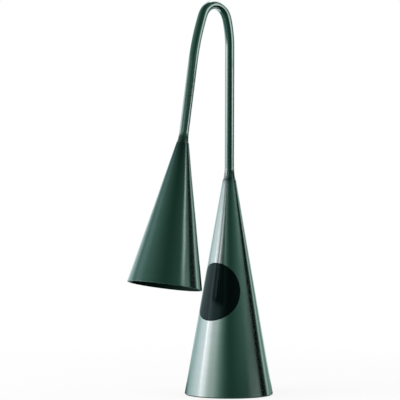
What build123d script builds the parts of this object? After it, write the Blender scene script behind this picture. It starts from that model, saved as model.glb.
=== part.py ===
from build123d import *
import os
from math import degrees, hypot

# Agogo bell: two rolled steel cones of different pitch on one bent rod handle.
# The origin is the centre of the large bell's mouth and +Z runs up its axis. The handle is bent
# in the XZ plane, with the small bell on the -X side. Lengths in millimetres, angles in degrees.

# Both bells
WALL = 1.0  # measured square to the axis of the cone
RIM_CHAMFER = 0.3  # outer edges of the mouths broken

# Large bell
LARGE_MOUTH_DIA = 75.0
LARGE_LENGTH = 182.0  # from the mouth to the cut tip

# Small bell
SMALL_MOUTH_DIA = 62.0
SMALL_LENGTH = 120.0

# Handle rod
ROD_DIA = 8.0
LARGE_ROD_FIT = 0.6  # gap all round the rod in the bore of the large bell's tip
SMALL_ROD_FIT = 0.1  # the same in the small bell's tip, which is rolled tighter
ROD_INSET = 18.0  # how far each end runs down inside its bell
LARGE_LEG = 111.5  # straight stretch above the large bell's tip
LARGE_SHOULDER_RADIUS = 80.0
LARGE_SHOULDER_TURN = 17.5
CROWN_RADIUS = 16.0
SMALL_SHOULDER_RADIUS = 190.0
SMALL_SHOULDER_TURN = 12.5
SMALL_LEG = 67.4  # straight stretch above the small bell's tip
SPLAY = 10.2  # angle between the two legs

# Weld collars round the rod, on the tips of the bells
LARGE_COLLAR_HEIGHT = 10.0
SMALL_COLLAR_HEIGHT = 8.0
COLLAR_LEDGE = 0.35  # edge of the tip left bare round the foot of a collar
COLLAR_GAP = 0.05  # hairline between a collar and the rod

# Weld seams that close the rolled cones
SEAM_GAP = 0.2  # between the edges of the sheet, at the mouth
SEAM_WIDTH = 2.0
SEAM_CROWN = 0.5  # height of the bead over the sheet
SEAM_AZIMUTH = 90.0  # from the bell's own X axis, so that both seams face +Y

LARGE_TIP_RADIUS = ROD_DIA / 2 + LARGE_ROD_FIT + WALL
SMALL_TIP_RADIUS = ROD_DIA / 2 + SMALL_ROD_FIT + WALL


def rod_path():
    """Centreline of the handle, each stretch tangent to the one before."""
    crown_turn = 180 - SPLAY - LARGE_SHOULDER_TURN - SMALL_SHOULDER_TURN
    with BuildLine(Plane.XZ) as path:
        leg = Line((0, LARGE_LENGTH - ROD_INSET), (0, LARGE_LENGTH + LARGE_LEG))
        rise = JernArc(leg @ 1, leg % 1, LARGE_SHOULDER_RADIUS, LARGE_SHOULDER_TURN)
        crown = JernArc(rise @ 1, rise % 1, CROWN_RADIUS, crown_turn)
        fall = JernArc(crown @ 1, crown % 1, SMALL_SHOULDER_RADIUS, SMALL_SHOULDER_TURN)
        Line(fall @ 1, fall @ 1 + (SMALL_LEG + ROD_INSET) * (fall % 1))
    return path.line


def small_bell_plane(path):
    """Plane of the small bell's mouth, with its normal up the small leg."""
    down = path % 1
    mouth = path @ 1 + (SMALL_LENGTH - ROD_INSET) * down
    return Plane(origin=mouth, x_dir=Vector(0, 1, 0).cross(-down), z_dir=-down)


def handle_rod(path):
    """One round bar swept along the path, its ends sawn square."""
    start = Plane(origin=path @ 0, z_dir=path % 0)
    return sweep(start * Circle(ROD_DIA / 2), path=path)


def cone_bell(mouth_dia, tip_radius, length):
    """Sheet rolled to a cone, mouth down on z = 0, with a hairline left where its edges meet."""
    mouth = mouth_dia / 2
    with BuildSketch(Plane.XZ) as wall:
        with BuildLine():
            outside = Line((mouth, 0), (tip_radius, length))
            inside = Line((tip_radius - WALL, length), (mouth - WALL, 0))
            Line(outside @ 1, inside @ 0)
            Line(inside @ 1, outside @ 0)
        make_face()
        chamfer(wall.vertices().group_by(Axis.Y)[0].sort_by(Axis.X)[-1], RIM_CHAMFER)
    gap = degrees(SEAM_GAP / mouth)
    return Rot(0, 0, SEAM_AZIMUTH + gap / 2) * revolve(wall.sketch, Axis.Z, 360 - gap)


def seam_weld(mouth_dia, tip_radius, length):
    """Crowned bead laid on the cone's outer line over the joint, trimmed level with mouth and tip."""
    half = SEAM_WIDTH / 2
    reach = mouth_dia / 2 - tip_radius
    uphill = Vector(-reach, 0, length).normalized()
    foot = Vector(mouth_dia / 2, 0, 0) - SEAM_WIDTH * uphill
    with BuildSketch(Plane(origin=foot, x_dir=(0, -1, 0), z_dir=uphill)) as bead:
        with BuildLine():
            Line((half, 0), (-half, 0))
            ThreePointArc((-half, 0), (0, SEAM_CROWN), (half, 0))
        make_face()
    bar = extrude(bead.sketch, hypot(reach, length) + 2 * SEAM_WIDTH)
    slab = Pos(0, 0, length / 2) * Box(2 * mouth_dia, 2 * mouth_dia, length)
    return Rot(0, 0, SEAM_AZIMUTH) * (bar & slab)


def tip_collar(tip_radius, length, height):
    """Ground weld that runs out on the rod above and widens to the edge of the cut tip below."""
    bore = ROD_DIA / 2 + COLLAR_GAP
    foot = tip_radius - COLLAR_LEDGE
    with BuildSketch(Plane.XZ) as profile:
        with BuildLine():
            Polyline((bore, length), (foot, length), (bore, length + height), close=True)
        make_face()
    return revolve(profile.sketch, Axis.Z)


def build_parts():
    path = rod_path()
    small = small_bell_plane(path)
    return {
        "large_bell": cone_bell(LARGE_MOUTH_DIA, LARGE_TIP_RADIUS, LARGE_LENGTH),
        "large_seam_weld": seam_weld(LARGE_MOUTH_DIA, LARGE_TIP_RADIUS, LARGE_LENGTH),
        "large_tip_weld": tip_collar(LARGE_TIP_RADIUS, LARGE_LENGTH, LARGE_COLLAR_HEIGHT),
        "handle_rod": handle_rod(path),
        "small_bell": small * cone_bell(SMALL_MOUTH_DIA, SMALL_TIP_RADIUS, SMALL_LENGTH),
        "small_seam_weld": small * seam_weld(SMALL_MOUTH_DIA, SMALL_TIP_RADIUS, SMALL_LENGTH),
        "small_tip_weld": small * tip_collar(SMALL_TIP_RADIUS, SMALL_LENGTH, SMALL_COLLAR_HEIGHT),
    }


os.makedirs("parts", exist_ok=True)
for node, solid in build_parts().items():
    export_step(solid, f"parts/{node}.step")
    print(f"{node}: {solid.volume:.1f} cubic mm")
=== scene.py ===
# %% [markdown]
# # Agogo bell
#
# An agogo is two cone-shaped bells of different pitch on the two ends of one bent rod. A player strikes
# the cones with a stick, or squeezes the rod until the rims click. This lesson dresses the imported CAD
# model of one: every piece is worked out again as a smooth surface with numpy and gets its own finish.
#
# The first step loads the CAD model. It is the fixed frame: its bodies carry the pieces made below, and
# its box is kept, because the looks may not change the size of the object.

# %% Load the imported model
import bpy
import numpy as np
from collections import namedtuple
from math import radians
from mathutils import Matrix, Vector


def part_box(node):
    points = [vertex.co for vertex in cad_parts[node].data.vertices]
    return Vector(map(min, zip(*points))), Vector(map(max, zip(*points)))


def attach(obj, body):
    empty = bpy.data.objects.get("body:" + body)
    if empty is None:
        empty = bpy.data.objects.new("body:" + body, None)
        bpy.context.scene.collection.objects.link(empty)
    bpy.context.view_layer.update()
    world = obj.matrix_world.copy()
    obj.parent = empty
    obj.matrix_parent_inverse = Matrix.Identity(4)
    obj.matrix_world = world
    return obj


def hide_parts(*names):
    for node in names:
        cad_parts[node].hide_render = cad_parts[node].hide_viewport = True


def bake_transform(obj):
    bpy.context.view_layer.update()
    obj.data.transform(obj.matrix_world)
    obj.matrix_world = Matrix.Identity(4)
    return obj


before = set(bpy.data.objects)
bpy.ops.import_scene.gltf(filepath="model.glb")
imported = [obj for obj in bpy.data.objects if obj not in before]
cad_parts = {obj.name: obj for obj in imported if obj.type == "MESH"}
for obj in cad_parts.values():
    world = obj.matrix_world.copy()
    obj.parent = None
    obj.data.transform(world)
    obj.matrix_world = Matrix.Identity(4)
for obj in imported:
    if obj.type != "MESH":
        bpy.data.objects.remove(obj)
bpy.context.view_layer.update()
MM = 0.001
scene = bpy.context.scene
print("nodes:", sorted(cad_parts))

# %% [markdown]
# ## Camera
#
# The camera comes first. The photograph is taken with a long lens from a little above the middle of the
# bell, 47 degrees round towards the small cone. A camera can be aimed with a constraint, but three axes
# written as the columns of a matrix say the same in plain numbers, and they let the picture lean by a
# fraction of a degree as well.

# %% Camera at the photograph's angle
VIEW_AZIMUTH = radians(-47.0)
VIEW_ELEVATION = radians(0.939)
VIEW_ROLL = radians(0.15)
VIEW_DISTANCE = 1694.4 * MM
AIM_HEIGHT = 164.6 * MM
AIM_LEFT = 24.84 * MM
LENS = 180.0

TO_RIGHT = np.array([np.cos(VIEW_AZIMUTH), np.sin(VIEW_AZIMUTH), 0.0])
TO_CAMERA = np.array([np.sin(VIEW_AZIMUTH), -np.cos(VIEW_AZIMUTH), 0.0])
UP = np.array([0.0, 0.0, 1.0])
ALONG_Y = np.array([0.0, 1.0, 0.0])


def add_camera():
    """Camera whose own axes are right, up and back, rolled about the last one."""
    back = np.cos(VIEW_ELEVATION) * TO_CAMERA + np.sin(VIEW_ELEVATION) * UP
    up = np.cross(back, TO_RIGHT)
    right = np.cos(VIEW_ROLL) * TO_RIGHT + np.sin(VIEW_ROLL) * up
    aim = AIM_HEIGHT * UP - AIM_LEFT * TO_RIGHT
    place = np.eye(4)
    place[:3, 0] = right
    place[:3, 1] = np.cross(back, right)
    place[:3, 2] = back
    place[:3, 3] = aim + VIEW_DISTANCE * back
    data = bpy.data.cameras.new("camera")
    data.lens = LENS
    camera = bpy.data.objects.new("camera", data)
    camera.matrix_world = Matrix(place.tolist())
    scene.collection.objects.link(camera)
    scene.camera = camera
    return camera


print("camera at", [round(x, 3) for x in add_camera().matrix_world.translation])

# %% [markdown]
# ## From a grid of points to a mesh
#
# Every piece of this object is round in one direction: a cone, a tube, a ring, a disc. So each one can be
# a grid whose rows run along the piece and whose columns close round it. Rows close too on a ring, and
# end in a fan of triangles on a rod. The grid also gives the texture its map: U is the distance along
# the rows in metres, V the share of a turn. Blender's own primitives and modifiers could make such
# shapes, but a formula keeps every size visible and gives a map that follows the metal.

# %% Grid helper


def corner_grid(rows, columns):
    """Row and column numbers of the four corners of each cell, counted round the cell's outside."""
    row, column = np.meshgrid(np.arange(rows), np.arange(columns), indexing="ij")
    corner_rows = np.stack([row, row, row + 1, row + 1], -1).reshape(-1, 4)
    corner_columns = np.stack([column, column + 1, column + 1, column], -1).reshape(-1, 4)
    return corner_rows, corner_columns


def fan(first, centre, columns, outward):
    """Triangles from a row of points to one centre point, and their column numbers."""
    column = np.arange(columns)
    ring = np.stack([column, column + 1], -1)[:, ::outward]
    faces = np.column_stack([np.full(columns, centre), first + ring % columns])
    return faces, np.column_stack([column + 0.5, ring])


def grid_piece(name, points, along, rows_close):
    """Mesh object on a grid of points (rows, columns, 3) whose columns close round.

    along is the distance of each row, with one more for the way back where the rows close as well.
    Where they don't, the first and last row end in a fan to their middle.
    """
    rows, columns = points.shape[:2]
    corner_rows, corner_columns = corner_grid(rows if rows_close else rows - 1, columns)
    quads = (corner_rows % rows) * columns + corner_columns % columns
    vertices = points.reshape(-1, 3)
    faces = quads.tolist()
    maps = [np.stack([along[corner_rows], corner_columns / columns], -1).reshape(-1, 2)]
    if not rows_close:
        ends = ((0, 0, -1), (rows - 1, 1, 1))
        for row, extra, outward in ends:
            triangles, turns = fan(row * columns, rows * columns + extra, columns, outward)
            faces += triangles.tolist()
            maps.append(np.stack([np.full(turns.size, along[row]), turns.ravel() / columns], -1))
        vertices = np.concatenate([vertices, points[:1].mean(1), points[-1:].mean(1)])
    mesh = bpy.data.meshes.new(name)
    mesh.from_pydata(vertices.tolist(), [], faces)
    mesh.uv_layers.new(name="UVMap").data.foreach_set("uv", np.concatenate(maps).ravel())
    mesh.shade_smooth()
    piece = bpy.data.objects.new(name, mesh)
    scene.collection.objects.link(piece)
    volume = enclosed_volume(vertices, quads)
    print(f"{name}: {len(faces)} faces, about {volume / MM**3:.0f} cubic mm inside")
    return piece


def enclosed_volume(vertices, quads):
    """Sum of the signed tetrahedra from the origin to each half quad; positive if faces point outwards."""
    a, b, c, d = (vertices[quads[:, k]] for k in range(4))
    halves = np.einsum("ij,ij->i", a, np.cross(b, c)) + np.einsum("ij,ij->i", a, np.cross(c, d))
    return halves.sum() / 6


# %% [markdown]
# ## Handle rod
#
# The handle is one round bar of 8 mm, bent to a hairpin: a straight leg, a gentle shoulder, the tight
# crown, a second gentle shoulder and the other leg. A bender turns the bar evenly along each bend, so the
# heading of the bar grows in straight lines over its length, and its centreline is the running sum of
# short steps along that heading. Carrying a circle along that line gives one unbroken tube. A curve with
# a bevel would do too, but the small bell is placed from the end of this line, so it is worked out.

# %% Rod
ROD_RADIUS = 4.0 * MM
ROD_INSET = 18.0 * MM
ROD_END_ROUND = 0.5 * MM
ROD_END_STEPS = np.array([0.0, 0.1, 0.3, 0.6, 1.0])
LARGE_LEG = 111.5 * MM
SMALL_LEG = 67.4 * MM
BEND_RADII = np.array([80.0, 16.0, 190.0]) * MM
BEND_TURNS = np.radians([17.5, 139.8, 12.5])
ROD_STEPS = 2400
ROD_RINGS = 480
ROD_SIDES = 56

rod_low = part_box("handle_rod")[0]


def rod_centreline():
    """Distance, heading and points: the heading grows evenly along each bend, points are summed steps."""
    bends = BEND_RADII * BEND_TURNS
    lengths = np.concatenate([[ROD_INSET + LARGE_LEG], bends, [SMALL_LEG + ROD_INSET]])
    turns = np.concatenate([[0.0], BEND_TURNS, [0.0]])
    stations = np.concatenate([[0.0], np.cumsum(lengths)])
    distance = np.linspace(0.0, stations[-1], ROD_STEPS + 1)
    heading = np.interp(distance, stations, np.concatenate([[0.0], np.cumsum(turns)]))
    middle = (heading[1:] + heading[:-1]) / 2
    step = np.stack([-np.sin(middle), 0 * middle, np.cos(middle)], -1) * distance[1]
    start = np.array([0.0, 0.0, rod_low.z])
    points = start + np.concatenate([np.zeros((1, 3)), np.cumsum(step, axis=0)])
    return distance, heading, points


rod_distance, rod_heading, rod_points = rod_centreline()


def rod_surface():
    """Circle square to the centreline: point = centre + r (cos t sideways + sin t along Y).

    Near both ends r follows a quarter circle, so that the sawn ends have a small round.
    """
    keep = np.linspace(0, ROD_STEPS, ROD_RINGS + 1).round().astype(int)
    edge = ROD_END_ROUND * ROD_END_STEPS
    total = rod_distance[-1]
    along = np.unique(np.concatenate([edge, rod_distance[keep][1:-1], total - edge]))
    heading = np.interp(along, rod_distance, rod_heading)
    centre = np.stack([np.interp(along, rod_distance, rod_points[:, k]) for k in range(3)], -1)
    depth = np.clip(np.minimum(along, total - along) / ROD_END_ROUND, 0, 1)
    radius = ROD_RADIUS - ROD_END_ROUND * (1 - np.sqrt(1 - (1 - depth) ** 2))
    turn = np.linspace(0, 2 * np.pi, ROD_SIDES, endpoint=False)[None, :, None]
    sideways = np.stack([np.cos(heading), 0 * heading, np.sin(heading)], -1)[:, None, :]
    ring = np.cos(turn) * sideways + np.sin(turn) * ALONG_Y
    return centre[:, None, :] + radius[:, None, None] * ring, along


rod = grid_piece("rod", *rod_surface(), rows_close=False)
rod_top = rod_points[:, 2].max() + ROD_RADIUS
print(f"rod: {rod_distance[-1] / MM:.1f} mm of bar, top at {rod_top / MM:.1f} mm")

# %% [markdown]
# ## The two cones
#
# Each bell is a sheet of 1 mm steel rolled to a cone and welded along its back. A turned cone would be
# perfectly round. A rolled one isn't: it is a little oval, it is flatter beside the seam where the rollers
# can't bend the edges, and the sheet waves by a few hundredths of a millimetre. The eye reads that from
# the reflections, so the radius gets those three terms. The wall is one closed outline carried round the
# axis: up the outside, over the cut tip, down the inside and round the rim, with small rounded edges.
#
# Each point also gets two painted marks for the finish: whether it lies inside, where the finish paints
# shade into the hollow, and how far it is darkened near the welds: by weld heat beside the seam, and from
# the tip, which on the small bell runs far down the cone.

# %% Cones
Bell = namedtuple("Bell", "name mouth tip length origin up")
WALL = 1.0 * MM
EDGE_ROUND = 0.35 * MM
EDGE_POINTS = 7
SMALL_LENGTH = 120.0 * MM
SEAM_AZIMUTH = radians(90.0)
OVAL = 0.10 * MM
OVAL_PHASE = 0.7
SEAM_FLAT = 0.16 * MM
SEAM_FLAT_REACH = 0.22
WAVE = 0.035 * MM
WAVES = ((3, 9, 0.0), (5, -14, 1.0))
INSIDE_EDGE = (0.3 * WALL, 0.9 * WALL)
SEAM_HEAT_REACH = 5.0 * MM
TIP_DARK_REACH = {"large": 2.0 * MM, "small": 30.0 * MM}
SHEET_ROWS = 110
SHEET_COLUMNS = 224

rod_end_down = np.array([-np.sin(rod_heading[-1]), 0.0, np.cos(rod_heading[-1])])
small_mouth = rod_points[-1] + (SMALL_LENGTH - ROD_INSET) * rod_end_down
large_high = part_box("large_bell")[1]
LARGE = Bell(
    name="large", mouth=37.5 * MM, tip=5.6 * MM, length=large_high.z,
    origin=np.zeros(3), up=UP,
)
SMALL = Bell(
    name="small", mouth=31.0 * MM, tip=5.1 * MM, length=SMALL_LENGTH,
    origin=small_mouth, up=-rod_end_down,
)


def ramp(value, start, stop):
    """Smooth step from 0 at start to 1 at stop, whichever of the two is larger."""
    t = np.clip((value - start) / (stop - start), 0, 1)
    return t * t * (3 - 2 * t)


def straight_taper(bell, height):
    """Radius that falls in a straight line from mouth to tip."""
    return bell.mouth + (bell.tip - bell.mouth) * height / bell.length


def sheet_radius(bell, height, azimuth):
    """Outside radius: straight taper + oval (2 waves a turn) - flat beside the seam + slow waves.

    WAVES holds waves a turn, change of phase from mouth to tip, and phase at the mouth.
    """
    share = height / bell.length
    taper = straight_taper(bell, height)
    from_seam = np.angle(np.exp(1j * (azimuth - SEAM_AZIMUTH)))
    oval = OVAL * np.cos(2 * azimuth + OVAL_PHASE)
    flat = SEAM_FLAT * np.exp(-((from_seam / SEAM_FLAT_REACH) ** 2))
    waves = WAVE * sum(np.sin(turns * azimuth + climb * share + phase) for turns, climb, phase in WAVES)
    return taper + (oval - flat + waves) * (1 - share)


def place_on(bell, radius, height, azimuth):
    """Points of a bell from its own radius, height and azimuth."""
    across = np.cross(ALONG_Y, bell.up)
    flat = (radius * np.cos(azimuth))[..., None] * across
    flat = flat + (radius * np.sin(azimuth))[..., None] * ALONG_Y
    return bell.origin + flat + (height + 0 * radius)[..., None] * bell.up


def wall_outline(bell):
    """Closed outline of the sheet as inset from the outside and height: outside, tip, inside, rim."""
    low, high = EDGE_ROUND, bell.length - EDGE_ROUND
    climb = low + (high - low) * (1 - np.cos(np.linspace(0, np.pi, SHEET_ROWS))) / 2
    quarter = np.linspace(0, np.pi / 2, EDGE_POINTS)
    sine = EDGE_ROUND * np.sin(quarter)
    cosine = EDGE_ROUND * np.cos(quarter)
    inner = WALL - EDGE_ROUND
    parts = [
        (0 * climb, climb),
        (EDGE_ROUND - cosine[1:], high + sine[1:]),
        (inner + sine, high + cosine),
        (WALL + 0 * climb[1:], climb[::-1][1:]),
        (inner + cosine[1:], low - sine[1:]),
        (EDGE_ROUND - sine[:-1], low - cosine[:-1]),
    ]
    return (np.concatenate(column) for column in zip(*parts))


def cone_surface(bell):
    """Outline carried round the axis: radius = sheet radius - inset, at each azimuth from the seam on."""
    inset, height = wall_outline(bell)
    azimuth = SEAM_AZIMUTH + np.linspace(0, 2 * np.pi, SHEET_COLUMNS, endpoint=False)
    radius = sheet_radius(bell, height[:, None], azimuth[None, :]) - inset[:, None]
    outline = np.stack([radius[:, 0], height], -1)
    steps = np.linalg.norm(np.diff(outline, axis=0, append=outline[:1]), axis=1)
    along = np.concatenate([[0.0], np.cumsum(steps)])
    return place_on(bell, radius, height[:, None], azimuth[None, :]), along


def paint_marks(piece, bell):
    """Two marks a point: 1 on the inside, for painted shade, and darkening that fades from seam and tip."""
    inset, height = wall_outline(bell)
    turn = np.linspace(0, 2 * np.pi, SHEET_COLUMNS, endpoint=False)
    from_seam = np.minimum(turn, 2 * np.pi - turn)[None, :] * straight_taper(bell, height)[:, None]
    from_tip = (bell.length - height)[:, None]
    # The inside mark is where the finish paints shade into the hollow of the cone.
    inside = ramp(inset, *INSIDE_EDGE)[:, None] + 0 * from_seam
    # Weld heat beside the seam, plus a darkening from the tip that runs far down the small cone.
    heat_and_tip_dark = np.exp(-from_seam / SEAM_HEAT_REACH) + np.exp(-from_tip / TIP_DARK_REACH[bell.name])
    for name, value in (("inside", inside), ("weld_heat_and_tip_dark", np.clip(heat_and_tip_dark, 0, 1))):
        mark = piece.data.attributes.new(name, "FLOAT", "POINT")
        mark.data.foreach_set("value", value.ravel())


cones = {}
for bell in (LARGE, SMALL):
    cones[bell.name] = grid_piece(f"{bell.name}_cone", *cone_surface(bell), rows_close=True)
    paint_marks(cones[bell.name], bell)

# %% [markdown]
# ## Weld seams
#
# The edges of the rolled sheet meet along the back, under a weld bead about 2 mm wide. A welder moves
# the pool in short steps, and each step leaves a crescent. A bump texture could draw them, but the bead
# stands against the light at the silhouette, so the ripples are real: the height across the bead is an
# arch, and it swells and sinks along the seam with a phase that lags at the sides, which bends each ripple.

# %% Seam beads
BEAD_HALF = 1.1 * MM
BEAD_CROWN = 0.45 * MM
BEAD_SINK = 0.3 * MM
RIPPLE_PITCH = 1.3 * MM
RIPPLE_SHARE = 0.16
RIPPLE_LAG = 0.5
RIPPLE_WIDTH = 0.05
RIPPLE_SAMPLES = 8
WANDER_LENGTHS = (9 * MM, 23 * MM)
WANDER_PHASE = 1.0
WANDER_HEIGHT = 0.12
WANDER_WIDTH = 0.06
BEAD_COLUMNS = 13


def seam_surface(bell):
    """Bead on the sheet: lift = crown (1 - t^2) (1 + ripple), t from side to side, closed underneath.

    A slow wander, the product of two sines along the seam, makes the bead higher and wider by turns.
    """
    rows = int(bell.length / RIPPLE_PITCH * RIPPLE_SAMPLES)
    height = np.linspace(EDGE_ROUND, bell.length - EDGE_ROUND, rows)
    side = np.linspace(-1, 1, BEAD_COLUMNS)
    over = np.concatenate([side, [1.0, -1.0]])
    lag = RIPPLE_LAG * over**2
    ripple = np.cos(2 * np.pi * (height[:, None] / RIPPLE_PITCH + lag))
    short, long = WANDER_LENGTHS
    wander = (np.sin(height / short) * np.sin(height / long + WANDER_PHASE))[:, None]
    lift = BEAD_CROWN * (1 - over**2) * (1 + RIPPLE_SHARE * ripple) * (1 + WANDER_HEIGHT * wander)
    lift[:, BEAD_COLUMNS:] = -BEAD_SINK
    width = BEAD_HALF * (1 + WANDER_WIDTH * wander + RIPPLE_WIDTH * ripple)
    azimuth = SEAM_AZIMUTH + width * over / straight_taper(bell, height)[:, None]
    radius = sheet_radius(bell, height[:, None], azimuth) + lift
    return place_on(bell, radius, height[:, None], azimuth), height


seams = {}
for bell in (LARGE, SMALL):
    seams[bell.name] = grid_piece(f"{bell.name}_seam", *seam_surface(bell), rows_close=False)

# %% [markdown]
# ## Weld collars
#
# The rod's ends sit in the cut tips and are welded round. The weld is ground to a smooth hollow that runs
# out on the rod, with very shallow lumps left from the pool. It stops a hair inside the edge of the tip,
# which shows as a thin line in the photograph. Its outline closes along the bore, so the ring of it closes
# both ways. A mark is painted on it too: at the upper end grinding has laid the rod bare, so there the
# weld's colour gives way to the rod's.

# %% Tip collars
COLLAR_LEDGE = 0.35 * MM
COLLAR_LIP = 0.06 * MM
COLLAR_HOLLOW = 1.9
COLLAR_LUMP = 0.02 * MM
LUMPS = ((1.0, 11, 5), (0.7, 17, -9))
BARE_FROM = 0.45
COLLAR_ROWS = 40
COLLAR_COLUMNS = 96
COLLAR_HEIGHTS = {"large": 10.0 * MM, "small": 8.0 * MM}


def collar_surface(bell):
    """Ring on the tip: radius falls from the foot to the rod with a power of the height left, plus lumps.

    LUMPS holds size, waves a turn and change of phase from foot to top.
    """
    rise = COLLAR_HEIGHTS[bell.name]
    share = np.linspace(0, 1, COLLAR_ROWS)
    azimuth = SEAM_AZIMUTH + np.linspace(0, 2 * np.pi, COLLAR_COLUMNS, endpoint=False)
    foot = bell.tip - COLLAR_LEDGE
    lip = ROD_RADIUS + COLLAR_LIP
    climb = share[:, None]
    fall = lip + (foot - lip) * (1 - climb) ** COLLAR_HOLLOW
    lumps = sum(size * np.sin(turns * azimuth + phase * climb) for size, turns, phase in LUMPS)
    outside = fall + COLLAR_LUMP * np.sin(np.pi * climb) * lumps
    bore = np.full_like(outside, ROD_RADIUS - COLLAR_LIP)
    radius = np.concatenate([outside, bore[::-1]])
    height = bell.length + rise * np.concatenate([share, share[::-1]])
    along = np.concatenate([height, height[:1]])
    return place_on(bell, radius, height[:, None], azimuth[None, :]), along


def paint_run_out(piece):
    """Mark for the finish: 0 on the weld, 1 at its upper end, where grinding has laid the rod bare."""
    share = np.linspace(0, 1, COLLAR_ROWS)
    bare = ramp(np.concatenate([share, share[::-1]]), BARE_FROM, 1.0)
    mark = piece.data.attributes.new("run_out", "FLOAT", "POINT")
    mark.data.foreach_set("value", np.repeat(bare, COLLAR_COLUMNS))


collars = {}
for bell in (LARGE, SMALL):
    collars[bell.name] = grid_piece(f"{bell.name}_collar", *collar_surface(bell), rows_close=True)
    paint_run_out(collars[bell.name])

# %% [markdown]
# ## Printed disc
#
# A plain black disc is printed on the large cone. On the flat sheet it is a circle, and rolling the sheet
# bends it round the cone. So it is drawn as a circle on the unrolled sheet and carried over: the distance
# from the cone's point stays, and the angle on the sheet grows by one over the sine of the cone's half
# angle. A flat disc pressed on with a Shrinkwrap modifier would come out as an ellipse.

# %% Printed disc
PRINT_RADIUS = 24.55 * MM
PRINT_HEIGHT = 87.9 * MM
PRINT_AZIMUTH = radians(-176.3)
PRINT_INK = 0.06 * MM
PRINT_SINK = 0.10 * MM
PRINT_CORE = 0.02
PRINT_RINGS = 36
PRINT_COLUMNS = 180


def print_surface():
    """Circle on the unrolled sheet, carried round the cone.

    Height comes from the distance to the cone's point, azimuth from the angle on the sheet.
    """
    half_angle = np.arctan((LARGE.mouth - LARGE.tip) / LARGE.length)
    point_height = LARGE.mouth / np.tan(half_angle)
    reach = np.linspace(PRINT_CORE, 1, PRINT_RINGS) * PRINT_RADIUS
    reach = np.concatenate([reach, reach[::-1]])[:, None]
    lift = np.repeat([PRINT_INK, -PRINT_SINK], PRINT_RINGS)[:, None]
    turn = -np.linspace(0, 2 * np.pi, PRINT_COLUMNS, endpoint=False)[None, :]
    downhill = (point_height - PRINT_HEIGHT) / np.cos(half_angle) + reach * np.cos(turn)
    sideways = reach * np.sin(turn)
    height = point_height - np.hypot(downhill, sideways) * np.cos(half_angle)
    azimuth = PRINT_AZIMUTH + np.arctan2(sideways, downhill) / np.sin(half_angle)
    radius = sheet_radius(LARGE, height, azimuth) + lift
    return place_on(LARGE, radius, height, azimuth), reach[:, 0]


printed_disc = grid_piece("printed_disc", *print_surface(), rows_close=False)

# %% [markdown]
# ## Finishes from nodes
#
# A finish is a small network of nodes. Photographs of metal could be wrapped round the pieces, but noise
# that is stretched along the map never repeats and can be read and changed. These few helpers are all that
# the four finishes need: stretched noise, a change of range, mixed colours, painted marks and a bump.

# %% Material helpers


def new_finish(name, colour, metallic, roughness):
    """Principled material, with its tree and shader; the plain values serve where nodes aren't read."""
    material = bpy.data.materials.new(name)
    material.use_nodes = True
    shader = material.node_tree.nodes["Principled BSDF"]
    shader.inputs["Base Color"].default_value = (*colour, 1.0)
    shader.inputs["Metallic"].default_value = metallic
    shader.inputs["Roughness"].default_value = roughness
    return material, material.node_tree, shader


def streaks(tree, along, turns, detail):
    """Noise on the piece's own map: along times a metre, turns times round, with finer layers in it."""
    uv = tree.nodes.new("ShaderNodeUVMap")
    stretch = tree.nodes.new("ShaderNodeMapping")
    stretch.inputs["Scale"].default_value = (along, turns, 1.0)
    noise = tree.nodes.new("ShaderNodeTexNoise")
    noise.inputs["Scale"].default_value = 1.0
    noise.inputs["Detail"].default_value = detail
    tree.links.new(uv.outputs["UV"], stretch.inputs["Vector"])
    tree.links.new(stretch.outputs["Vector"], noise.inputs["Vector"])
    return noise.outputs["Fac"]


def spread(tree, value, low, high, start=0.3, stop=0.7):
    """The value's usual range carried over to low and high."""
    change = tree.nodes.new("ShaderNodeMapRange")
    change.inputs["From Min"].default_value = start
    change.inputs["From Max"].default_value = stop
    change.inputs["To Min"].default_value = low
    change.inputs["To Max"].default_value = high
    tree.links.new(value, change.inputs["Value"])
    return change.outputs["Result"]


def tint(tree, factor, dark, light):
    """Colour between two by a factor."""
    mix = tree.nodes.new("ShaderNodeMix")
    mix.data_type = "RGBA"
    mix.inputs["A"].default_value = (*dark, 1.0)
    mix.inputs["B"].default_value = (*light, 1.0)
    tree.links.new(factor, mix.inputs["Factor"])
    return mix.outputs["Result"]


def tint_over(tree, factor, colour, over):
    """A colour laid over another by a factor."""
    result = tint(tree, factor, over, over)
    tree.links.new(colour, result.node.inputs["A"])
    return result


def mark(tree, name):
    """Value painted on the points of the piece."""
    node = tree.nodes.new("ShaderNodeAttribute")
    node.attribute_name = name
    return node.outputs["Fac"]


def bump(tree, shader, height, distance):
    """Surface normal from a height, in metres."""
    node = tree.nodes.new("ShaderNodeBump")
    node.inputs["Strength"].default_value = 1.0
    node.inputs["Distance"].default_value = distance
    tree.links.new(height, node.inputs["Height"])
    tree.links.new(node.outputs["Normal"], shader.inputs["Normal"])


def brush_along_u(tree, shader, anisotropic):
    """Reflections smeared along the map's U axis."""
    tangent = tree.nodes.new("ShaderNodeTangent")
    tangent.direction_type = "UV_MAP"
    tangent.uv_map = "UVMap"
    shader.inputs["Anisotropic"].default_value = anisotropic
    tree.links.new(tangent.outputs["Tangent"], shader.inputs["Tangent"])


# %% [markdown]
# ## Brushed sheet
#
# The cones were turned against an abrasive belt, so fine scratches run round them. A scratched surface
# smears reflections across its scratches: here up and down the cone. The shader does that with
# anisotropy, whose direction comes from the map's U axis, along the slope. Noise stretched round the turn
# draws the scratches in roughness and a faint bump, and a second, coarser one draws the bands that a belt
# leaves. Beside the seams the heat of welding has darkened the sheet, and it darkens towards the tip too,
# far down on the small bell. The inside is painted dark as shade in the hollow. These come from the painted
# marks. The mark isn't called heat alone, because Cycles keeps that name for smoke.

# %% Sheet finish
SHEET_DARK = (0.62, 0.64, 0.635)
SHEET_LIGHT = (0.70, 0.715, 0.71)
# Colour of the darkening beside the seams and towards the tips.
HEAT_AND_TIP_DARK = (0.27, 0.29, 0.295)
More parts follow.
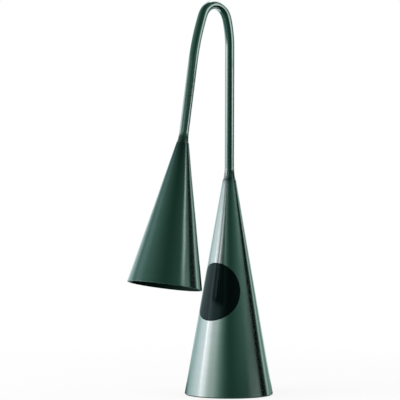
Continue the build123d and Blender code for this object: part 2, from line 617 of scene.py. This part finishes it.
# Painted shade: the dark colour of the inside of the cones.
INSIDE_PAINTED_SHADE = (0.11, 0.115, 0.112)
SCRATCHES = (2600.0, 5.0, 2.0)
BELT_BANDS = (260.0, 2.0, 3.0)
SHEET_ROUGHNESS = (0.17, 0.20)
SCRATCH_DEPTH = 0.0003 * MM
SHEET_SMEAR = 0.25


def sheet_finish():
    """Steel brushed round the axis: noise for scratches and bands, marks for weld darkening and painted
    shade.
    """
    material, tree, shader = new_finish("brushed_sheet", SHEET_LIGHT, metallic=1.0, roughness=0.2)
    fine = streaks(tree, *SCRATCHES)
    bands = streaks(tree, *BELT_BANDS)
    colour = tint(tree, bands, SHEET_DARK, SHEET_LIGHT)
    # Darker near the welds: weld heat beside the seam, and from the tip, far down on the small cone.
    colour = tint_over(tree, mark(tree, "weld_heat_and_tip_dark"), colour, HEAT_AND_TIP_DARK)
    # Painted shade: the inside of the cone is darkened as the shade in its hollow.
    colour = tint_over(tree, mark(tree, "inside"), colour, INSIDE_PAINTED_SHADE)
    tree.links.new(colour, shader.inputs["Base Color"])
    tree.links.new(spread(tree, fine, *SHEET_ROUGHNESS), shader.inputs["Roughness"])
    bump(tree, shader, fine, SCRATCH_DEPTH)
    brush_along_u(tree, shader, SHEET_SMEAR)
    return material


brushed_sheet = sheet_finish()
print("finish:", brushed_sheet.name)

# %% [markdown]
# ## Rod, welds and ink
#
# The bar is drawn through a die and polished along its length, so it is smoother than the sheet and its
# faint, long lines run the other way. The welds are ground: darker and mottled, and bare like the rod where
# they run out. The ink is a thin black lacquer with a cool sheen, and the brushing of the sheet shows
# through it as a faint grain.

# %% Rod, weld and ink finishes
ROD_DARK = (0.62, 0.64, 0.635)
ROD_LIGHT = (0.72, 0.74, 0.735)
WELD_DARK = (0.28, 0.29, 0.288)
WELD_LIGHT = (0.46, 0.475, 0.47)
INK = (0.001, 0.002, 0.002)
INK_GLOSS = 1.42
INK_SHEEN = (0.6, 0.95, 1.0)
DRAWN_LINES = (8.0, 60.0, 1.0)
WELD_MOTTLE = (300.0, 6.0, 2.0)
INK_GRAIN = (1800.0, 40.0, 2.0)
ROD_ROUGHNESS = (0.11, 0.17)
WELD_ROUGHNESS = (0.16, 0.24)
INK_ROUGHNESS = (0.15, 0.18)
LINE_DEPTH = 0.0005 * MM
MOTTLE_DEPTH = 0.002 * MM
GRAIN_DEPTH = 0.0005 * MM


def rod_finish():
    """Drawn bar with faint lines along its length."""
    material, tree, shader = new_finish("drawn_bar", ROD_LIGHT, metallic=1.0, roughness=0.2)
    lines = streaks(tree, *DRAWN_LINES)
    tree.links.new(tint(tree, lines, ROD_DARK, ROD_LIGHT), shader.inputs["Base Color"])
    tree.links.new(spread(tree, lines, *ROD_ROUGHNESS), shader.inputs["Roughness"])
    bump(tree, shader, lines, LINE_DEPTH)
    return material


def weld_finish():
    """Ground weld, mottled, with the rod's colour over it where it runs out."""
    material, tree, shader = new_finish("ground_weld", WELD_LIGHT, metallic=1.0, roughness=0.3)
    mottle = streaks(tree, *WELD_MOTTLE)
    colour = tint(tree, mottle, WELD_DARK, WELD_LIGHT)
    colour = tint_over(tree, mark(tree, "run_out"), colour, ROD_LIGHT)
    tree.links.new(colour, shader.inputs["Base Color"])
    tree.links.new(spread(tree, mottle, *WELD_ROUGHNESS), shader.inputs["Roughness"])
    bump(tree, shader, mottle, MOTTLE_DEPTH)
    return material


def ink_finish():
    """Thin black lacquer whose gloss is tinted by the sheen."""
    material, tree, shader = new_finish("black_ink", INK, metallic=0.0, roughness=0.15)
    shader.inputs["IOR"].default_value = INK_GLOSS
    shader.inputs["Specular Tint"].default_value = (*INK_SHEEN, 1.0)
    grain = streaks(tree, *INK_GRAIN)
    tree.links.new(spread(tree, grain, *INK_ROUGHNESS), shader.inputs["Roughness"])
    bump(tree, shader, grain, GRAIN_DEPTH)
    return material


drawn_bar = rod_finish()
ground_weld = weld_finish()
black_ink = ink_finish()
print("finishes:", drawn_bar.name, ground_weld.name, black_ink.name)

# %% [markdown]
# ## Hang the pieces on the CAD bodies
#
# Each piece gets its finish, rides on the body that carries it and stands for its CAD node. The rod is
# the exception: when a player squeezes the bells, the bar bends at its crown, but here it rides on
# neither bell's body and keeps its place.

# %% Ride, replace and finish


def dress(piece, finish, nodes=()):
    """Finish and material slot of a piece, and the CAD nodes that it stands for."""
    piece.data.materials.append(finish)
    if nodes:
        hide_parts(*nodes)


for size in ("large", "small"):
    dress(cones[size], brushed_sheet, [f"{size}_bell"])
    dress(seams[size], ground_weld, [f"{size}_seam_weld"])
    dress(collars[size], ground_weld, [f"{size}_tip_weld"])
    for piece in (cones[size], seams[size], collars[size]):
        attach(piece, f"{size}_bell_side")
dress(printed_disc, black_ink)
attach(printed_disc, "large_bell_side")

dress(rod, drawn_bar, ["handle_rod"])
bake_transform(rod)

# %% [markdown]
# ## Light from the left
#
# Polished metal shows its surroundings more than itself, so the studio is half of its look. The streaks
# in the photograph tell of a dark room, a large softbox to the left, dim strips to the right and white
# behind. Lamps of those shapes could be hung up one by one. Here the light of the room is one formula of
# two angles: the bearing (degrees to the right of the camera) and the rise (degrees above the middle of
# the bell). So each streak on the metal can be followed back to one term. The room and its softbox come
# first. The softbox has an edge at bearing -84, where a hot strip shows: on one side it faces the camera,
# on the other it runs on towards the back.

# %% Room and softbox
ROOM_LEVEL = 0.035
SPILL_LEVEL = 0.125
SPILL_BEARING = (40, -110)
SPILL_POWER = 1.3
CORNER_LEVEL = 0.08
CORNER_BEARING = (-75, -105)
CORNER_RISE = (20, 26)
HIGH_LOSS = 0.5
HIGH_RISE = (36, 44)

SOFTBOX_EDGE = -84
SOFTBOX_REACH = 105
SLANT_BEARING = -55
SLANT_RISE = 10.2
SLANT = 0.11
SLANT_BLUR = (-2.2, 2.2)
UPPER_LEVEL = 3.1
UPPER_POWER = 2.6
UPPER_CAP = 0.9
LOWER_LEVEL = 1.7
LOWER_POWER = 6.5
LOWER_CAP = 0.85
MEETING_RISE = (4, 8)

FAR_LEVEL = 0.57
FAR_FADE = (-230, -90)
FAR_EXTRA = 0.3
FAR_EXTRA_RISE = (3, 7)
FAR_LOSS = 0.5
FAR_LOSS_BEARING = (-118, -140)
FAR_LOSS_RISE = (6, 10)

MIDDLE_LEVEL = 0.42
MIDDLE_BEARING = (-75, 10)
HOT_LEVEL = 3
HOT_WIDTH = 2.2
HOT_RISE = (9.1, 9.5, 11.2, 11.8)
SILL_DROP = 6
SILL_BEARING = (-90, -120)
SILL_BLUR = (-4, 4)
TOP_RISE = 15
TOP_EXTRA = 2.8
TOP_BEARING = (-70, -30)
TOP_BLUR = (-1.6, 1.6)


def bell_curve(value, middle, width):
    """1 at the middle, falling off evenly to both sides."""
    return np.exp(-(((value - middle) / width) ** 2))


def band(value, start, full, fading, gone):
    """1 from full to fading, with a smooth step up before and a smooth step down after."""
    return ramp(value, start, full) * ramp(value, gone, fading)


def room_level(bearing, rise):
    """An even level + a spill that grows to the left + a lighter corner there, both dimmer high up."""
    spill = SPILL_LEVEL * ramp(bearing, *SPILL_BEARING) ** SPILL_POWER
    corner = CORNER_LEVEL * ramp(bearing, *CORNER_BEARING) * ramp(rise, *CORNER_RISE)
    return ROOM_LEVEL + (spill + corner) * (1 - HIGH_LOSS * ramp(rise, *HIGH_RISE))


def near_glow(bearing, rise):
    """Softbox towards the camera: a capped power of the way that is left to its end.

    The upper part begins along a slanting line and the lower part fades faster; the two meet softly.
    """
    left = np.clip(1 - (bearing - SOFTBOX_EDGE) / SOFTBOX_REACH, 0, 1)
    line = SLANT_RISE + SLANT * (bearing - SLANT_BEARING)
    upper = np.minimum(UPPER_LEVEL * left**UPPER_POWER, UPPER_CAP) * ramp(rise - line, *SLANT_BLUR)
    lower = np.minimum(LOWER_LEVEL * left**LOWER_POWER, LOWER_CAP)
    return lower + (upper - lower) * ramp(rise, *MEETING_RISE)


def far_glow(bearing, rise):
    """Softbox towards the back: brighter above, fading slowly, and dimmed where it is far and high."""
    glow = (FAR_LEVEL + FAR_EXTRA * ramp(rise, *FAR_EXTRA_RISE)) * ramp(bearing, *FAR_FADE)
    return glow * (1 - FAR_LOSS * ramp(bearing, *FAR_LOSS_BEARING) * ramp(rise, *FAR_LOSS_RISE))


def softbox_level(bearing, rise):
    """Both sides of the edge + a brighter middle + the hot strip, cut off at a sill below and a top."""
    glow = np.where(bearing < SOFTBOX_EDGE, far_glow(bearing, rise), near_glow(bearing, rise))
    middle = MIDDLE_LEVEL * bell_curve(bearing, *MIDDLE_BEARING)
    hot = HOT_LEVEL * bell_curve(bearing, SOFTBOX_EDGE, HOT_WIDTH) * band(rise, *HOT_RISE)
    sill = SILL_DROP * ramp(bearing, *SILL_BEARING)
    top = TOP_RISE + TOP_EXTRA * ramp(bearing, *TOP_BEARING)
    return (glow + middle + hot) * ramp(rise + sill, *SILL_BLUR) * (1 - ramp(rise - top, *TOP_BLUR))


print(f"softbox at its edge, rise 10: {softbox_level(SOFTBOX_EDGE, 10.0):.2f}")

# %% [markdown]
# ## Light from the right and from behind
#
# The right-hand side of each cone is dark with a soft stripe, so the light there is a dim shelf that grows
# with the bearing, and one spot above it for the small bell. A dark flag, a black board that keeps light
# off, gives the cones their dark right edge. Some lights aren't darkened by it: a low strip that shows on
# the rod's legs, a thin strip at the back, and the white behind, which is seen at the very edges.

# %% Right-hand and back lights
SHELF_LEVEL = 0.2
SHELF_BEARING = 70
SHELF_CAP = 1.1
SHELF_POWERS = (3, 1)
SHELF_POWER_RISE = (10, 14)
SHELF_RISE = (9.5, 14)
SHELF_LOSS = 0.75
SHELF_LOSS_RISE = (16, 19.5)
SPOT_LEVEL = 1.3
SPOT_BEARING = (70, 8)
SPOT_RISE = (24.4, 2.0)
FLAG_LOSS = 0.97
FLAG_BEARING = (86, 91, 112, 120)
LOW_LEVEL = 1.2
LOW_BEARING = (54, 60, 90, 95)
LOW_RISE = (-2, 3, 3, 5.5)
STRIP_LEVEL = 0.6
STRIP_BEARING = (125, 5)
BEHIND = ((0.24, (120, 140)), (0.75, (146, 158)), (0.4, (-146, -158)))
ABOVE = ((0.8, (104, 116), (17.5, 19.5)), (0.4, (-130, -142), (14, 18)))


def right_level(bearing, rise):
    """Shelf that grows with a power of the bearing, the power falling with the rise, + a soft spot."""
    first, last = SHELF_POWERS
    power = first + (last - first) * ramp(rise, *SHELF_POWER_RISE)
    shelf = SHELF_LEVEL * np.clip(bearing / SHELF_BEARING, 0, SHELF_CAP) ** power
    shelf = shelf * ramp(rise, *SHELF_RISE) * (1 - SHELF_LOSS * ramp(rise, *SHELF_LOSS_RISE))
    return shelf + SPOT_LEVEL * bell_curve(bearing, *SPOT_BEARING) * bell_curve(rise, *SPOT_RISE)


def back_level(bearing, rise):
    """Low strip + thin strip + white behind + two lights high up at the back."""
    low = LOW_LEVEL * band(bearing, *LOW_BEARING) * band(rise, *LOW_RISE)
    strip = STRIP_LEVEL * bell_curve(bearing, *STRIP_BEARING)
    behind = sum(level * ramp(bearing, *edge) for level, edge in BEHIND)
    above = sum(level * ramp(bearing, *edge) * ramp(rise, *foot) for level, edge, foot in ABOVE)
    return low + strip + behind + above


def studio_level(bearing, rise):
    """Room, softbox and right-hand lights, all dimmed by the flag, + the lights that it leaves alone."""
    flag = 1 - FLAG_LOSS * band(bearing, *FLAG_BEARING)
    front = room_level(bearing, rise) + softbox_level(bearing, rise) + right_level(bearing, rise)
    return front * flag + back_level(bearing, rise)


sample_rise = 12.0
for bearing in (SOFTBOX_EDGE, 0, 70, 100, 170):
    print(f"light at bearing {bearing}, rise {sample_rise:.0f}: {studio_level(bearing, sample_rise):.2f}")

# %% [markdown]
# ## Wall and card
#
# A round wall carries that light. It stands 10 m away, so that every point of the bell sees the same light
# in the same direction, and it closes with a floor and a ceiling. A picture of a room could be used as the
# world's light, but then the camera's white and the shadow on the floor would change with it. Dim light is
# greener than bright light, as in the photograph. One white card stands close by on the right. Being near,
# it shows on the upper handle only, where the photograph has a broad light band. Reflections alone see the
# wall and the card: the camera sees plain white.

# %% Studio wall and card
WALL_REACH = 10.0
WALL_TOP_RISE = 45
WALL_LIFT = 1.0 * MM
WALL_ROWS = 180
WALL_COLUMNS = 720
FLOOR_GAP = 46 * MM
FLOOR_ROWS = 40
POLE_LEVEL = 0.04
POLE_RISE = (60, 80)
COOL_SHARE = 0.08
COOL_BEARING = (-50, -110)
CARD_REACH = 150 * MM
CARD_THICKNESS = 2 * MM
CARD_LOW = 283 * MM
CARD_HIGH = 400 * MM
CARD_BEARING = (48, 92)
CARD_LEVEL = 0.75
CARD_FADE_HEIGHT = 6 * MM
CARD_FADE_BEARING = (47, 56)
CARD_ROWS = 60
CARD_COLUMNS = 40
DIM_SHARE = 0.66
RED_LOSS = 0.35
BLUE_LOSS = 0.1


def toward(bearing):
    """Level direction at a bearing."""
    angle = np.radians(bearing)[..., None]
    return np.cos(angle) * TO_CAMERA + np.sin(angle) * TO_RIGHT


def room_outline():
    """Reach and height: along the floor from near the bell, up the wall, back over the ceiling.

    The wall ends 45 degrees up, so the ceiling is as high as the wall is far.
    """
    climb = np.radians(np.linspace(0, WALL_TOP_RISE, WALL_ROWS + 1)[1:])
    parts = [
        (np.geomspace(FLOOR_GAP, WALL_REACH, FLOOR_ROWS), np.full(FLOOR_ROWS, WALL_LIFT)),
        (np.full(WALL_ROWS, WALL_REACH), WALL_REACH * np.tan(climb)),
        (np.linspace(WALL_REACH, FLOOR_GAP, FLOOR_ROWS)[1:], np.full(FLOOR_ROWS - 1, WALL_REACH)),
    ]
    return (np.concatenate(column)[:, None] for column in zip(*parts))


def paint_light(piece, level, cool):
    """Colour of the light on each point: red and blue fall with powers of the level, red faster."""
    dim = np.minimum(DIM_SHARE * level, 1)
    red = level * dim**RED_LOSS
    blue = level * dim**BLUE_LOSS * cool
    colour = np.stack([red, level, blue, np.ones_like(level)], -1).reshape(-1, 4)
    both_ends = colour[:2]
    paint = piece.data.color_attributes.new("light", "FLOAT_COLOR", "POINT")
    paint.data.foreach_set("color", np.concatenate([colour, both_ends]).ravel())


def studio_wall():
    """Outline of the room carried round, with its light painted on; straight up and down it is dim."""
    reach, height = room_outline()
    bearing = np.linspace(-180, 180, WALL_COLUMNS + 1)[:-1]
    points = reach[..., None] * toward(bearing) + height[..., None] * UP
    wall = grid_piece("studio_wall", points, height[:, 0], rows_close=False)
    rise = np.degrees(np.arctan2(height - AIM_HEIGHT, reach))
    level = studio_level(bearing[None, :], rise)
    level = POLE_LEVEL + (level - POLE_LEVEL) * (1 - ramp(np.abs(rise), *POLE_RISE))
    paint_light(wall, level, 1 + COOL_SHARE * ramp(bearing, *COOL_BEARING))
    return wall


def side_card():
    """Upright white card bent round the bell: a front and a back, joined to a ring at each height."""
    height = np.linspace(CARD_LOW, CARD_HIGH, CARD_ROWS)[:, None]
    across = np.linspace(*CARD_BEARING, CARD_COLUMNS)
    bearing = np.concatenate([across[::-1], across]) + 0 * height
    reach = CARD_REACH + np.repeat([0.0, CARD_THICKNESS], CARD_COLUMNS)[None, :]
    points = reach[..., None] * toward(bearing) + height[..., None] * UP
    card = grid_piece("side_card", points, height[:, 0], rows_close=False)
    fade = ramp(height, CARD_LOW, CARD_LOW + CARD_FADE_HEIGHT) * ramp(bearing, *CARD_FADE_BEARING)
    paint_light(card, CARD_LEVEL * fade, 1.0)
    return card


def glow_finish():
    """Emission with the colour painted on the piece."""
    material = bpy.data.materials.new("studio_light")
    material.use_nodes = True
    tree = material.node_tree
    tree.nodes.clear()
    paint = tree.nodes.new("ShaderNodeAttribute")
    paint.attribute_name = "light"
    glow = tree.nodes.new("ShaderNodeEmission")
    output = tree.nodes.new("ShaderNodeOutputMaterial")
    tree.links.new(paint.outputs["Color"], glow.inputs["Color"])
    tree.links.new(glow.outputs["Emission"], output.inputs["Surface"])
    return material


studio_light = glow_finish()
for piece in (studio_wall(), side_card()):
    piece.data.materials.append(studio_light)
    piece.visible_camera = False
    piece.visible_diffuse = False
    piece.visible_shadow = False

# %% [markdown]
# ## Floor, lamps and world
#
# The floor is white and keeps a soft shadow. Most of its white is its own glow for the camera and for
# reflections, the rest is lit by the lamps, so that only that part darkens under the bell, and it fades
# out before the floor's edge. The world is white where the camera, metal or glass sees it, and a plain
# soft light everywhere else.

# %% Floor, lamps and world
FLOOR_REACH = 600 * MM
FLOOR_SIDES = 96
FLOOR_WHITE = (0.9, 0.9, 0.9)
SHADOW_SHARE = 0.16
SHADOW_NEAR = 0.15 * FLOOR_REACH
SHADOW_FAR = 0.9 * FLOOR_REACH
AMBIENT = 0.6


def seen_directly(tree):
    """1 for rays from the camera and for reflected and transmitted ones, otherwise 0."""
    path = tree.nodes.new("ShaderNodeLightPath")
    total = path.outputs["Is Camera Ray"]
    for name in ("Is Glossy Ray", "Is Transmission Ray"):
        either = tree.nodes.new("ShaderNodeMath")
        either.operation = "MAXIMUM"
        tree.links.new(total, either.inputs[0])
        tree.links.new(path.outputs[name], either.inputs[1])
        total = either.outputs["Value"]
    return total


def floor_finish():
    """White glow, mixed with a lit white near the bell."""
    material = bpy.data.materials.new("white_floor")
    material.use_nodes = True
    tree = material.node_tree
    tree.nodes.clear()
    place = tree.nodes.new("ShaderNodeTexCoord")
    away = tree.nodes.new("ShaderNodeVectorMath")
    away.operation = "LENGTH"
    fade = tree.nodes.new("ShaderNodeMapRange")
    fade.interpolation_type = "SMOOTHSTEP"
    fade.inputs["From Min"].default_value = SHADOW_NEAR
    fade.inputs["From Max"].default_value = SHADOW_FAR
    fade.inputs["To Min"].default_value = 1 - SHADOW_SHARE
    fade.inputs["To Max"].default_value = 1.0
    share = tree.nodes.new("ShaderNodeMath")
    share.operation = "MULTIPLY"
    lit = tree.nodes.new("ShaderNodeBsdfDiffuse")
    lit.inputs["Color"].default_value = (*FLOOR_WHITE, 1.0)
    glow = tree.nodes.new("ShaderNodeEmission")
    mix = tree.nodes.new("ShaderNodeMixShader")
    output = tree.nodes.new("ShaderNodeOutputMaterial")
    tree.links.new(place.outputs["Object"], away.inputs[0])
    tree.links.new(away.outputs["Value"], fade.inputs["Value"])
    tree.links.new(fade.outputs["Result"], share.inputs[0])
    tree.links.new(seen_directly(tree), share.inputs[1])
    tree.links.new(share.outputs["Value"], mix.inputs["Fac"])
    tree.links.new(lit.outputs["BSDF"], mix.inputs[1])
    tree.links.new(glow.outputs["Emission"], mix.inputs[2])
    tree.links.new(mix.outputs["Shader"], output.inputs["Surface"])
    return material


def add_floor():
    """Flat disc under the bell."""
    turn = np.linspace(0, 2 * np.pi, FLOOR_SIDES, endpoint=False)
    rim = np.stack([np.cos(turn), np.sin(turn), 0 * turn], -1) * FLOOR_REACH
    mesh = bpy.data.meshes.new("floor")
    mesh.from_pydata(rim.tolist(), [], [list(range(len(turn)))])
    mesh.materials.append(floor_finish())
    floor = bpy.data.objects.new("floor", mesh)
    scene.collection.objects.link(floor)
    return floor


def add_lamp(name, bearing, elevation, distance, size, power):
    """Square soft lamp that looks at the middle of the bell; reflections see the studio wall instead."""
    rise = radians(elevation)
    back = np.cos(rise) * toward(bearing) + np.sin(rise) * UP
    right = np.cross(UP, back)
    right /= np.linalg.norm(right)
    place = np.eye(4)
    place[:3, :3] = np.stack([right, np.cross(back, right), back], -1)
    place[:3, 3] = AIM_HEIGHT * UP + distance * back
    data = bpy.data.lights.new(name, "AREA")
    data.size = size
    data.energy = power
    lamp = bpy.data.objects.new(name, data)
    lamp.matrix_world = Matrix(place.tolist())
    lamp.visible_glossy = False
    scene.collection.objects.link(lamp)
    return lamp


def add_world():
    """White for the camera and for reflections, soft light for everything else."""
    world = bpy.data.worlds.new("studio")
    world.use_nodes = True
    tree = world.node_tree
    background = tree.nodes["Background"]
    background.inputs["Color"].default_value = (1.0, 1.0, 1.0, 1.0)
    strength = spread(tree, seen_directly(tree), low=AMBIENT, high=1.0, start=0.0, stop=1.0)
    tree.links.new(strength, background.inputs["Strength"])
    scene.world = world


add_floor()
add_lamp("key_lamp", bearing=-60.0, elevation=45.0, distance=1.2, size=0.7, power=7.0)
add_lamp("fill_lamp", bearing=70.0, elevation=50.0, distance=1.3, size=0.6, power=3.0)
add_world()
scene.view_settings.view_transform = "Standard"
